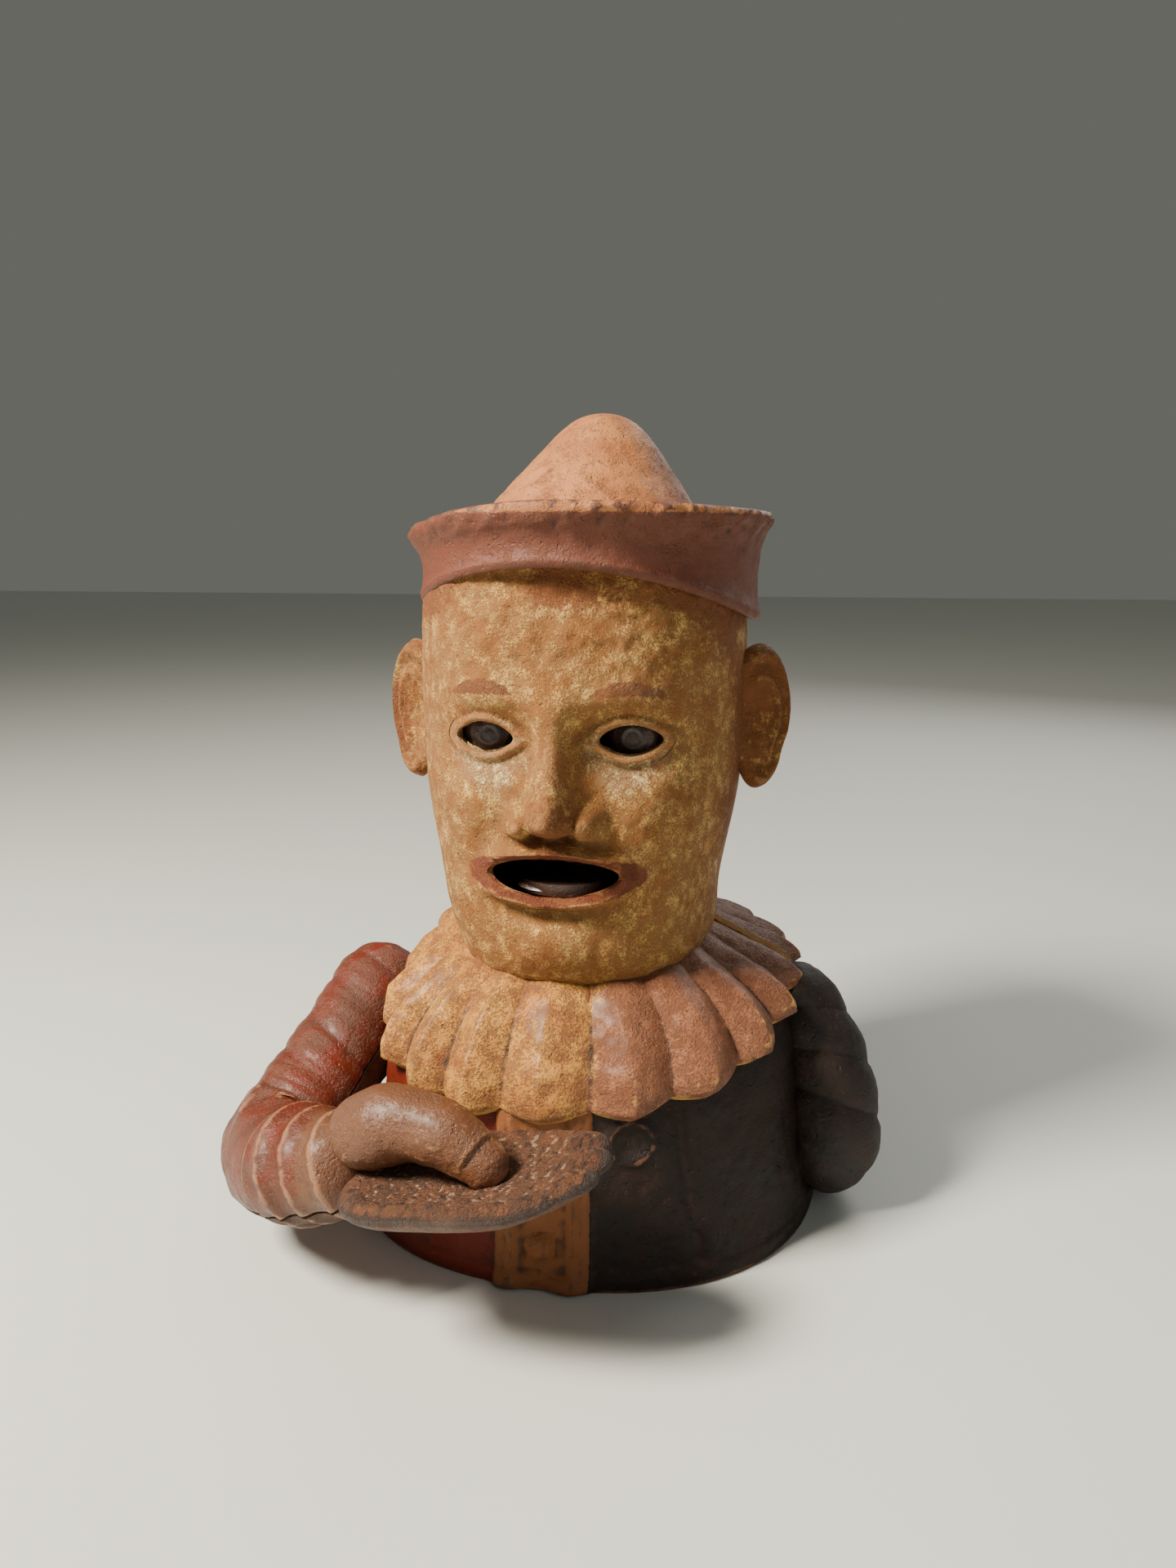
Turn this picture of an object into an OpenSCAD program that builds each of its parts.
// Cast-iron mechanical coin bank: a clown's bust with a pointed hat.
// Pressing the thumb lever behind the neck lifts the right hand to the mouth,
// tips the tongue back and rolls the eyes up.
// Frame: X to the figure's left, Y to its back, Z up. The origin is on the table,
// under the plane where the front and back castings meet.

/* [Bust] */
// Half width of the coat at the table
base_half_w = 52; // [48:1:56]
// Depth of the coat in front of the joint plane, at the table
base_front_d = 52; // [48:1:56]
// Depth of the coat behind the joint plane, at the table
base_back_d = 42; // [38:1:46]
// Height of the whole bank
total_h = 171; // [168:1:176]
// Thickness of the cast walls
wall = 3; // [2.5:0.5:4]
// How squarely the level sections are rounded, 2 being an ellipse
squareness = 2.3; // [2:0.1:2.6]

/* [Face] */
// Width of the mouth, which takes a 24 mm coin
mouth_w = 28; // [26:1:30]
// Height of the mouth slot
mouth_h = 9; // [8:0.5:10]
// Distance of each eye from the middle
eye_x = 14.5; // [14:0.5:15]
// Radius of the eyeballs
eye_r = 7.5; // [7:0.5:7.5]

/* [Arm and linkage] */
// Height of the arm shaft
shaft_z = 44; // [42:1:46]
// Diameter of the arm shaft
shaft_d = 5; // [4:0.5:6]
// How far the arm lifts, degrees
arm_travel = 45; // [30:1:48]
// Radius of the crank on the shaft
crank_r = 12; // [10:0.5:13]
// How far the tongue tips while the arm lifts, degrees
tongue_travel = 34; // [28:1:38]
// How far the eyes roll while the arm lifts, degrees
eye_travel = 28; // [22:1:32]
// Diameter of the linkage pins
pin_d = 3; // [2.5:0.5:3.5]
// Thickness of the two linkage bars
link_t = 2.2; // [2:0.1:2.4]
// Distance of the thumb pad from the shaft
lever_len = 55; // [54:1:58]
// Angle of the thumb lever above level, at rest
lever_rest = 12; // [8:1:14]

/* [Base and coin trap] */
// Height of the base plate's underside above the table
plate_z = 5; // [4:0.5:6]
// Thickness of the base plate
plate_t = 3; // [2:0.5:4]
// Diameter of the coin trap's hole
trap_hole_d = 26; // [25:1:28]
// Radius of the trap's cover
trap_cover_r = 15.5; // [15:0.5:17]

/* [Hidden] */

slip = 0.1;                         // running fit, on the radius
link_slip = 0.35;                   // room in the linkage bars' eyes, on the radius
bar_share = 0.6;                    // width of a linkage bar, as a share of its eyes
bar_inset = 2.3;                    // where a bar starts, from the centre of its eye
round_fn = 48;                      // roundness of the turned pieces
hull_fn = 20;                       // roundness of the cast shapes under a hull

// ---- level sections of the bust: [height, half width, front depth, back depth] ----
bust_rows = [
    [0, base_half_w, base_front_d, base_back_d], [4, base_half_w - 0.3, base_front_d - 0.3, base_back_d],
    [12, 51, 51, 41.5], [20, 50, 50, 41], [28, 49.2, 49, 40.5], [35, 48.5, 48, 40],
    [41, 47.4, 46.2, 38.7], [45, 46, 44, 37], [49, 43.5, 42, 35.5], [53, 39.5, 39, 33],
    [57, 33, 34.5, 29.5], [61, 26, 28, 25], [64, 24, 31, 24.5], [66, 25, 36.5, 25.5],
    [69, 27, 39, 27], [73, 28.8, 39.6, 29.2], [77, 30, 39.6, 31], [82, 31.3, 39.4, 33],
    [87, 32.4, 38.9, 35], [92, 33.2, 38.4, 36.6], [97, 33.8, 38, 38], [102, 34.2, 37.7, 39],
    [107, 34.5, 37.5, 39.8], [112, 34.6, 38.2, 40], [117, 34.5, 38.6, 40], [122, 34.3, 38, 39.6],
    [127, 34, 37.2, 39], [132, 33.6, 36.5, 38.2]
];
// ---- the hat: [outer height, outer half width, inner height, inner half width] ----
hat_deep = 1.11;                    // depth of the hat for its width
hat_top = total_h - 171;
hat_rows = [
    [136, 34, 134, 30.4], [142, 35.6, 136.5, 30], [147, 37.2, 138.5, 29], [150.5, 38.6, 140, 27.5],
    [151.3, 37.6, 140.8, 26], [147.5, 32, 141.4, 24.5], [144.6, 27, 142, 22.5], [146, 23.6, 143, 20.8],
    [151 + hat_top, 21, 150, 17.6], [157 + hat_top, 17.2, 156, 13.8],
    [163 + hat_top, 12.4, 161, 9.4], [167.6 + hat_top, 7.8, 165, 5],
    [170 + hat_top, 4, 166.8, 2], [total_h, 1.6, 167.4, 0.8]
];
columns = 18;                       // facets round each casting
sleeve_y = -8;                      // the fixed sleeve stands out most here
sleeve_reach = 17;                  // half of its width, front to back
recess_y = 0;                       // the coat is hollowed for the moving arm here
recess_reach = 24;
recess_depth = 8.4;

function signed_power(v, e) = v < 0 ? -pow(-v, e) : pow(v, e);
function bump(d, reach) = exp(-pow(d / reach, 2));
function ramp(v, lo, hi) = min(1, max(0, (v - lo) / (hi - lo)));
function soft(v, lo, hi) = let (t = ramp(v, lo, hi)) t * t * (3 - 2 * t);

// The fixed sleeve's swell and the hollow for the moving arm, by height
function sleeve_out(z) = 17 * soft(z, 1, 9) * (1 - soft(z, 22, 54));
function recess_in(z) = recess_depth * soft(z, 10, 28) * (1 - soft(z, 50, 60));
// The nose: a ridge that grows from the brow down to its tip
function nose_out(x, z) = 11.5 * bump(x, 5.5) * soft(z, 86, 92) * (1 - ramp(z, 93, 116));

// A point of a level section; side is -1 for the front casting and 1 for the back one
function section(a, b, ang, side) =
    let (e = 2 / squareness)
    [a * signed_power(cos(ang), e), side * b * signed_power(sin(ang), e)];

function bust_point(row, ang, side, inset) =
    let (z = row[0],
         a = row[1] - inset,
         b = (side < 0 ? row[2] : row[3]) - inset,
         p = section(a, b, ang, side),
         swell = p[0] > 0 && inset == 0 ? sleeve_out(z) * bump(p[1] - sleeve_y, sleeve_reach) : 0,
         hollow = p[0] < 0 ? recess_in(z) * bump(p[1] - recess_y, recess_reach) : 0,
         nose = side < 0 && inset == 0 ? nose_out(p[0], z) : 0)
    [p[0] + swell * ramp(p[0], 0, a) + hollow * ramp(-p[0], 0, a), p[1] - nose, z];

function hat_point(z, a, ang, side) = let (p = section(a, a * hat_deep, ang, side)) [p[0], p[1], z];

function outer_rows(side) = concat(
    [for (r = bust_rows) [for (i = [0:columns]) bust_point(r, 180 * i / columns, side, 0)]],
    [for (h = hat_rows) [for (i = [0:columns]) hat_point(h[0], h[1], 180 * i / columns, side)]]);
function inner_rows(side) = concat(
    [for (r = bust_rows) [for (i = [0:columns]) bust_point(r, 180 * i / columns, side, wall)]],
    [for (h = hat_rows) [for (i = [0:columns]) hat_point(h[2], h[3], 180 * i / columns, side)]]);

// One half of the bust as a closed cast wall: outer skin, inner skin, foot rim and joint faces
module cast_half(side) {
    outer = outer_rows(side);
    inner = inner_rows(side);
    rows = len(outer);
    per = columns + 1;
    skin = rows * per;
    points = concat([for (r = outer) each r], [for (r = inner) each r]);
    quads = concat(
        [for (k = [0:rows - 2], i = [0:columns - 1])
            [k * per + i, k * per + i + 1, (k + 1) * per + i + 1, (k + 1) * per + i]],
        [for (k = [0:rows - 2], i = [0:columns - 1])
            [skin + (k + 1) * per + i, skin + (k + 1) * per + i + 1,
             skin + k * per + i + 1, skin + k * per + i]],
        [for (i = [0:columns - 1]) [skin + i, skin + i + 1, i + 1, i]],
        [for (k = [0:rows - 2]) [skin + k * per, k * per, (k + 1) * per, skin + (k + 1) * per]],
        [for (k = [0:rows - 2]) let (j = columns)
            [skin + (k + 1) * per + j, (k + 1) * per + j, k * per + j, skin + k * per + j]],
        [[skin + (rows - 1) * per, (rows - 1) * per,
          (rows - 1) * per + columns, skin + (rows - 1) * per + columns]]);
    caps = concat(
        [for (i = [1:columns - 1]) [(rows - 1) * per, (rows - 1) * per + i, (rows - 1) * per + i + 1]],
        [for (i = [1:columns - 1])
            [skin + (rows - 1) * per, skin + (rows - 1) * per + i + 1, skin + (rows - 1) * per + i]]);
    triangles = concat([for (q = quads) each [[q[0], q[1], q[2]], [q[0], q[2], q[3]]]], caps);
    polyhedron(points, side < 0 ? triangles : [for (t = triangles) [t[2], t[1], t[0]]]);
}

// ---- places of the moving pieces, all in the plane of the mechanism: [y, z] ----
shaft_at = [0, shaft_z];
crank_half = arm_travel / 2;
crank_pin_at = shaft_at + crank_r * [cos(crank_half), sin(crank_half)];
pin_drop = 2 * crank_r * sin(crank_half);
tongue_at = [-28, 74];
tongue_tail_r = pin_drop / (2 * sin(tongue_travel / 2));
tongue_tail_at = tongue_at + tongue_tail_r * [cos(tongue_travel / 2), sin(tongue_travel / 2)];
eye_at = [-23.6, 107];
eye_tail_r = pin_drop / (2 * sin(eye_travel / 2));
eye_tail_at = eye_at + eye_tail_r * [cos(eye_travel / 2), sin(eye_travel / 2)];
tail_t = 6;                         // thickness of the tongue's and the eyes' tails
link_gap = 0.4;                     // side play between the tails and the linkage bars
link_x = tail_t / 2 + link_gap;
crank_x = -(link_x + link_t + link_gap);
crank_t = 3;                        // thickness of the crank's eye
crank_eye_d = 8;
crank_web_from = 3.5;               // where the web starts, inside the hub
crank_web_set = 0.3;                // how far the web's faces lie inside the eye's
mouth_z = 80.5;
torso_screw_z = 28;
head_screw_z = 128;
screw_d = 4;
eye_pivot_x = 24.4;
eye_lug_x = [22.4, 25.2];
tongue_lug_x = [10.5, 15.5];

// ---- places under the base ----
trap_at = [-8, -3];
trap_pivot = [6.5, 11];
trap_z = 2.5;
trap_t = 2.2;
base_screw_d = 3;
base_screws_y = [-45.4, 35.6];

// ---- the moving arm: centres and radii of its masses at rest ----
arm_in_x = -41;
shoulder_c = [-50.2, -1, 44];
elbow_c = [-63, -40, 18];
cuff_c = [-41, -60, 28];
wrist_c = [-30, -68, 31.5];
thumb_root = [-33, -63, 37.5];
thumb_knuckle = [-24, -66, 41.5];
thumb_tip = [-13, -68, 41.2];
part_n = [-0.52, -0.33, 0.79];
part_p = [-63, -40, 14];

// ---- small shapes that repeat ----
// A round bar along X
module x_bar(x0, x1, at, d) {
    translate([x0, at[0], at[1]])
        rotate([0, 90, 0])
            cylinder(d = d, h = x1 - x0, $fn = round_fn);
}

// A round bar along Y
module y_bar(y0, y1, x, z, d) {
    translate([x, y0, z])
        rotate([-90, 0, 0])
            cylinder(d = d, h = y1 - y0, $fn = round_fn);
}

// A flat bar between two round eyes, in the plane of the mechanism
module link_bar(p, q, x0, x1, d) {
    span = q - p;
    translate([x0, p[0], p[1]])
        rotate([atan2(span[1], span[0]), 0, 0]) {
            x_bar(0, x1 - x0, [0, 0], d);
            x_bar(0, x1 - x0, [norm(span), 0], d);
            translate([0, bar_inset, -d * bar_share / 2])
                cube([x1 - x0, norm(span) - 2 * bar_inset, d * bar_share]);
        }
}

// A slot with round ends through the face, along Y
module y_slot(x, z, w, h, y0, y1) {
    run = (w - h) / 2;
    y_bar(y0, y1, x - run, z, h);
    y_bar(y0, y1, x + run, z, h);
    translate([x - run, y0, z - h / 2])
        cube([2 * run, y1 - y0, h]);
}

// A ball of a cast shape
module ball(at, r) {
    translate(at)
        sphere(r = r, $fn = hull_fn);
}

// ---- the castings ----
module ear(side) {
    hull() {
        ball([side * 33, -12, 98], 2.6);
        ball([side * 37, -9, 95.5], 2.6);
        ball([side * 41, -5, 112], 2.6);
        ball([side * 39.5, -4.5, 120.5], 2.6);
        ball([side * 33, -12, 117], 2.6);
    }
}

// The shaft's inner bearing, which both castings share
module shaft_boss() {
    x_bar(24, 43.5, shaft_at, 12);
}

module shaft_holes() {
    x_bar(-60, 30, shaft_at, shaft_d + 2 * slip);
}

module half_space(side) {
    translate([-100, side < 0 ? -100 : 0, -1])
        cube([200, 100, total_h + 2]);
}

module front_shell() color([0.80, 0.62, 0.36]) difference() {
    union() {
        cast_half(-1);
        for (side = [-1, 1])
            ear(side);
        intersection() {
            shaft_boss();
            half_space(-1);
        }
        y_bar(-47.5, -32, 0, torso_screw_z, 10);
        y_bar(-34.5, -20, 0, head_screw_z, 9);
        // lugs for the eyes' trunnions and for the tongue's pin
        for (flip = [0, 1])
            mirror([flip, 0, 0]) {
                x_bar(eye_lug_x[0], eye_lug_x[1], eye_at, 7.2);
                translate([tongue_lug_x[0], tongue_at[0] - 5.5, tongue_at[1] - 4])
                    cube([tongue_lug_x[1] - tongue_lug_x[0], 9.5, 7.5]);
            }
        translate([0, base_screws_y[0], plate_z + plate_t])
            cylinder(d = 9, h = 12, $fn = round_fn);
    }
    y_slot(0, mouth_z, mouth_w, mouth_h, -62, -32.2);
    for (side = [-1, 1])
        y_slot(side * eye_x, eye_at[1], 13, 6.4, -50, -28);
    shaft_holes();
    x_bar(-eye_pivot_x - 0.3, eye_pivot_x + 0.3, eye_at, screw_d + 2 * slip);
    x_bar(-15.3, 15.3, tongue_at, pin_d);
    y_bar(-44, -30, 0, torso_screw_z, screw_d);
    y_bar(-31.5, -19, 0, head_screw_z, screw_d);
    translate([0, base_screws_y[0], plate_z])
        cylinder(d = base_screw_d, h = 11, $fn = round_fn);
}

module back_shell() color([0.24, 0.17, 0.15]) difference() {
    union() {
        cast_half(1);
        intersection() {
            shaft_boss();
            half_space(1);
        }
        y_bar(30, 38.5, 0, torso_screw_z, 11);
        y_bar(30, 36.5, 0, head_screw_z, 10);
        translate([0, base_screws_y[1], plate_z + plate_t])
            cylinder(d = 9, h = 12, $fn = round_fn);
    }
    shaft_holes();
    translate([16.4, 16, 14.5])
        cube([5.2, 34, 40]);
    y_bar(28, 60, 0, torso_screw_z, screw_d + 0.4);
    y_bar(37, 60, 0, torso_screw_z, 8.4);
    y_bar(28, 60, 0, head_screw_z, screw_d + 0.4);
    y_bar(35.6, 60, 0, head_screw_z, 8.4);
    translate([0, base_screws_y[1], plate_z])
        cylinder(d = base_screw_d, h = 11, $fn = round_fn);
}

// ---- the base and the coin trap ----
function plate_outline(side) = [for (i = [0:columns])
    let (ang = 180 * i / columns, b = side < 0 ? base_front_d : base_back_d)
    section(base_half_w - wall - 0.9, b - wall - 0.9, ang, side)];

module base_plate() color([0.30, 0.27, 0.25]) difference() {
    translate([0, 0, plate_z])
        linear_extrude(plate_t)
            polygon(concat(plate_outline(1), [for (i = [columns - 1:-1:1]) plate_outline(-1)[i]]));
    translate([trap_at[0], trap_at[1], 0])
        cylinder(d = trap_hole_d, h = 20, $fn = round_fn);
    translate([trap_pivot[0], trap_pivot[1], 0])
        cylinder(d = base_screw_d, h = 20, $fn = round_fn);
    for (y = base_screws_y)
        translate([0, y, 0])
            cylinder(d = base_screw_d + 0.3, h = 20, $fn = round_fn);
}

// A slotted screw that stands head down: shank from z1 up to z2
module base_screw(at, z0, z1, z2) {
    translate([at[0], at[1], z1])
        cylinder(d = base_screw_d, h = z2 - z1, $fn = round_fn);
    difference() {
        translate([at[0], at[1], z0])
            cylinder(d = 6.4, h = z1 - z0, $fn = round_fn);
        translate([at[0] - 4, at[1] - 0.5, z0 - 0.5])
            cube([8, 1, 1.1]);
    }
}

module base_screws() color([0.42, 0.34, 0.27]) {
    for (y = base_screws_y)
        base_screw([0, y], plate_z - 1.6, plate_z, plate_z + plate_t + 7.5);
}

module trap_pivot_screw() color([0.42, 0.34, 0.27]) {
    base_screw(trap_pivot, trap_z - 2, trap_z - 0.6, plate_z + plate_t + 0.8);
}

module trap_cover() color([0.36, 0.31, 0.28]) difference() {
    reach = trap_pivot - trap_at;
    translate([trap_at[0], trap_at[1], trap_z])
        union() {
            cylinder(r = trap_cover_r, h = trap_t, $fn = round_fn);
            rotate([0, 0, atan2(reach[1], reach[0])])
                translate([0, -5, 0])
                    cube([norm(reach), 10, trap_t]);
            translate([reach[0], reach[1], 0])
                cylinder(r = 5, h = trap_t, $fn = round_fn);
        }
    translate([trap_pivot[0], trap_pivot[1], 0])
        cylinder(r = base_screw_d / 2 + slip, h = 10, $fn = round_fn);
    // dimple for a fingertip
    translate([trap_at[0] - 8, trap_at[1] - 7, trap_z - 0.6])
        cylinder(r = 3.5, h = 1.6, $fn = round_fn);
}

module trap_washer() color([0.55, 0.48, 0.38]) difference() {
    translate([trap_pivot[0], trap_pivot[1], trap_z - 0.4])
        cylinder(r = 3.8, h = 0.4 - slip, $fn = round_fn);
    translate([trap_pivot[0], trap_pivot[1], 0])
        cylinder(r = base_screw_d / 2 + slip, h = 10, $fn = round_fn);
}

// ---- the screws that hold the castings together ----
module long_screw(z, y0, y1, y2) {
    y_bar(y0, y1, 0, z, screw_d);
    difference() {
        y_bar(y1, y2, 0, z, 8);
        translate([-0.6, y2 - 1, z - 5])
            cube([1.2, 2, 10]);
    }
}

module torso_screw() color([0.36, 0.28, 0.23]) long_screw(torso_screw_z, -43, 37, 40.2);
module head_screw() color([0.36, 0.28, 0.23]) long_screw(head_screw_z, -30.5, 35.6, 38.4);

// ---- the moving arm ----
// Which side of the arm's own joint plane: 1 is the outer, upper casting
module arm_side(side) {
    translate(part_p)
        rotate([0, acos(part_n[2] / norm(part_n)), atan2(part_n[1], part_n[0])])
            translate([-150, -150, side > 0 ? 0 : -300])
                cube([300, 300, 300]);
}

module arm_masses() {
    difference() {
        hull() {
            ball(shoulder_c, 9.6);
            ball(elbow_c, 12);
        }
        translate([arm_in_x, -40, 20])
            cube([20, 60, 60]);
    }
    hull() {
        ball(elbow_c, 11.8);
        ball(cuff_c, 9);
    }
    hull() {
        ball(cuff_c, 8);
        ball(wrist_c, 6);
    }
}

module arm_hub(d) {
    x_bar(-56, arm_in_x, shaft_at, d);
}

module rivet_holes(d) {
    for (c = [[-57, -22, 31], [-51, -51, 23]])
        translate(c)
            rotate([0, acos(part_n[2] / norm(part_n)), atan2(part_n[1], part_n[0])])
                translate([0, 0, -8])
                    cylinder(d = d, h = 16, $fn = round_fn);
}

module arm_outer_half() color([0.52, 0.20, 0.12]) difference() {
    union() {
        intersection() {
            arm_masses();
            arm_side(1);
        }
        arm_hub(14);
        hull() {
            ball(thumb_root, 5);
            ball(thumb_knuckle, 4.4);
            ball(thumb_tip, 3.6);
        }
    }
    x_bar(-70, -30, shaft_at, shaft_d);
    x_bar(-75, -56, shaft_at, 9);
    rivet_holes(3);
}

module arm_inner_half() color([0.26, 0.20, 0.18]) difference() {
    union() {
        intersection() {
            arm_masses();
            arm_side(-1);
        }
        hull() {
            ball([-30, -68, 28], 4);
            ball([-16, -63, 30.5], 3.4);
            ball([-16, -83, 30], 3.4);
            ball([2, -64.5, 32], 3.2);
            ball([4, -84, 33.5], 3.2);
        }
        hull() {
            ball([2, -66, 32.5], 3.2);
            ball([4, -84, 33.5], 3.2);
            ball([15, -70, 37], 3.4);
            ball([15, -83, 38], 3.4);
        }
    }
    arm_hub(14);
    x_bar(-75, -56, shaft_at, 9);
    hull() {
        ball(thumb_root, 5.1);
        ball(thumb_knuckle, 4.5);
        ball(thumb_tip, 3.7);
    }
    rivet_holes(3);
}

module arm_rivets() color([0.38, 0.30, 0.25]) intersection() {
    rivet_holes(3);
    hull() {
        ball([-57, -22, 31], 7);
        ball([-51, -51, 23], 7);
    }
}

module arm_shaft() color([0.45, 0.40, 0.36]) difference() {
    x_bar(-56, 29.5, shaft_at, shaft_d);
    x_bar(-57, -47, shaft_at, 2.6);
}

module arm_retaining_screw() color([0.42, 0.34, 0.27]) {
    x_bar(-56, -48, shaft_at, 2.6);
    difference() {
        x_bar(-58, -56, shaft_at, 8);
        translate([-59, -0.6, shaft_z - 5])
            cube([1.9, 1.2, 10]);
    }
}

// ---- the linkage ----
module shaft_crank() color([0.40, 0.36, 0.33]) difference() {
    union() {
        x_bar(crank_x - crank_t, crank_x, crank_pin_at, crank_eye_d);
        translate([crank_x - crank_t + crank_web_set, 0, shaft_z])
            rotate([crank_half, 0, 0])
                translate([0, crank_web_from, -crank_eye_d * bar_share / 2])
                    cube([crank_t - 2 * crank_web_set, crank_r - crank_web_from - bar_inset,
                          crank_eye_d * bar_share]);
        x_bar(crank_x - 7, crank_x, shaft_at, 11);
    }
    x_bar(-40, 10, shaft_at, shaft_d);
    x_bar(-40, 10, crank_pin_at, pin_d);
    translate([crank_x - 5, 0, shaft_z])
        cylinder(d = 2.4, h = 12, $fn = round_fn);
}

module crank_pin() color([0.55, 0.50, 0.45]) x_bar(crank_x - crank_t, -link_x + 0.2, crank_pin_at, pin_d);

module crank_setscrew() color([0.55, 0.50, 0.45])
    translate([crank_x - 5, 0, shaft_z + shaft_d / 2])
        cylinder(d = 2.4, h = 4, $fn = round_fn);

module pull_rod() color([0.48, 0.42, 0.38]) difference() {
    link_bar(crank_pin_at, tongue_tail_at, -link_x - link_t, -link_x, 7);
    for (at = [crank_pin_at, tongue_tail_at])
        x_bar(-20, 0, at, pin_d + 2 * link_slip);
}

module tongue_tail_pin() color([0.55, 0.50, 0.45])
    x_bar(-link_x - link_t - 0.4, link_x + link_t + 0.4, tongue_tail_at, pin_d);

module tongue() color([0.28, 0.10, 0.08]) difference() {
    union() {
        x_bar(-8, 8, tongue_at, 7);
        link_bar(tongue_at, tongue_tail_at, -tail_t / 2, tail_t / 2, 6.5);
        // the tongue itself: a plate with a rounded tip, standing on its hub
        translate([-7, tongue_at[0] - 2.6, tongue_at[1] + 1.2])
            cube([14, 5, 3]);
        translate([0, tongue_at[0] - 1, tongue_at[1] + 2.5])
            cylinder(r = 9.6, h = 2.4, $fn = round_fn);
    }
    x_bar(-20, 20, tongue_at, pin_d + 2 * slip);
    x_bar(-20, 20, tongue_tail_at, pin_d);
}

module tongue_pin() color([0.55, 0.50, 0.45]) x_bar(-15.2, 15.2, tongue_at, pin_d);

module eye_link() color([0.48, 0.42, 0.38]) difference() {
    link_bar(tongue_tail_at, eye_tail_at, link_x, link_x + link_t, 7);
    for (at = [tongue_tail_at, eye_tail_at])
        x_bar(0, 20, at, pin_d + 2 * link_slip);
}

module eye_bar() color([0.34, 0.28, 0.25]) difference() {
    union() {
        x_bar(-eye_pivot_x, eye_pivot_x, eye_at, screw_d);
        link_bar(eye_at, eye_tail_at, -tail_t / 2, tail_t / 2, 7);
    }
    x_bar(-20, 20, eye_tail_at, pin_d);
}

module eye_ball(side) {
    difference() {
        translate([side * eye_x, eye_at[0], eye_at[1]])
            rotate([0, 0, 90])
                sphere(r = eye_r, $fn = 64);
        x_bar(side * eye_x - 15, side * eye_x + 15, eye_at, screw_d);
    }
}

module left_eye() color([0.86, 0.80, 0.66]) eye_ball(1);
module right_eye() color([0.86, 0.80, 0.66]) eye_ball(-1);
module eye_tail_pin() color([0.55, 0.50, 0.45])
    x_bar(-tail_t / 2, link_x + link_t + 0.4, eye_tail_at, pin_d);

// ---- the thumb lever, set at its rest angle ----
module thumb_lever() color([0.30, 0.24, 0.20]) difference() {
    translate([0, 0, shaft_z])
        rotate([lever_rest, 0, 0])
            union() {
                translate([17, 0, -3])
                    cube([4, lever_len, 6]);
                translate([19, lever_len, 0])
                    cylinder(r = 5.5, h = 3, $fn = round_fn);
                translate([13, 0, 0])
                    rotate([0, 90, 0])
                        cylinder(d = 12, h = 8, $fn = round_fn);
            }
    x_bar(5, 30, shaft_at, shaft_d);
    translate([15, 0, shaft_z])
        cylinder(d = 2.4, h = 12, $fn = round_fn);
}

module lever_setscrew() color([0.55, 0.50, 0.45])
    translate([15, 0, shaft_z + shaft_d / 2])
        cylinder(d = 2.4, h = 4.5, $fn = round_fn);

front_shell();
back_shell();
base_plate();
torso_screw();
head_screw();
base_screws();
tongue_pin();
trap_pivot_screw();
arm_outer_half();
arm_inner_half();
arm_rivets();
arm_shaft();
arm_retaining_screw();
shaft_crank();
crank_pin();
crank_setscrew();
thumb_lever();
lever_setscrew();
pull_rod();
tongue();
tongue_tail_pin();
eye_bar();
left_eye();
right_eye();
eye_tail_pin();
eye_link();
trap_cover();
trap_washer();
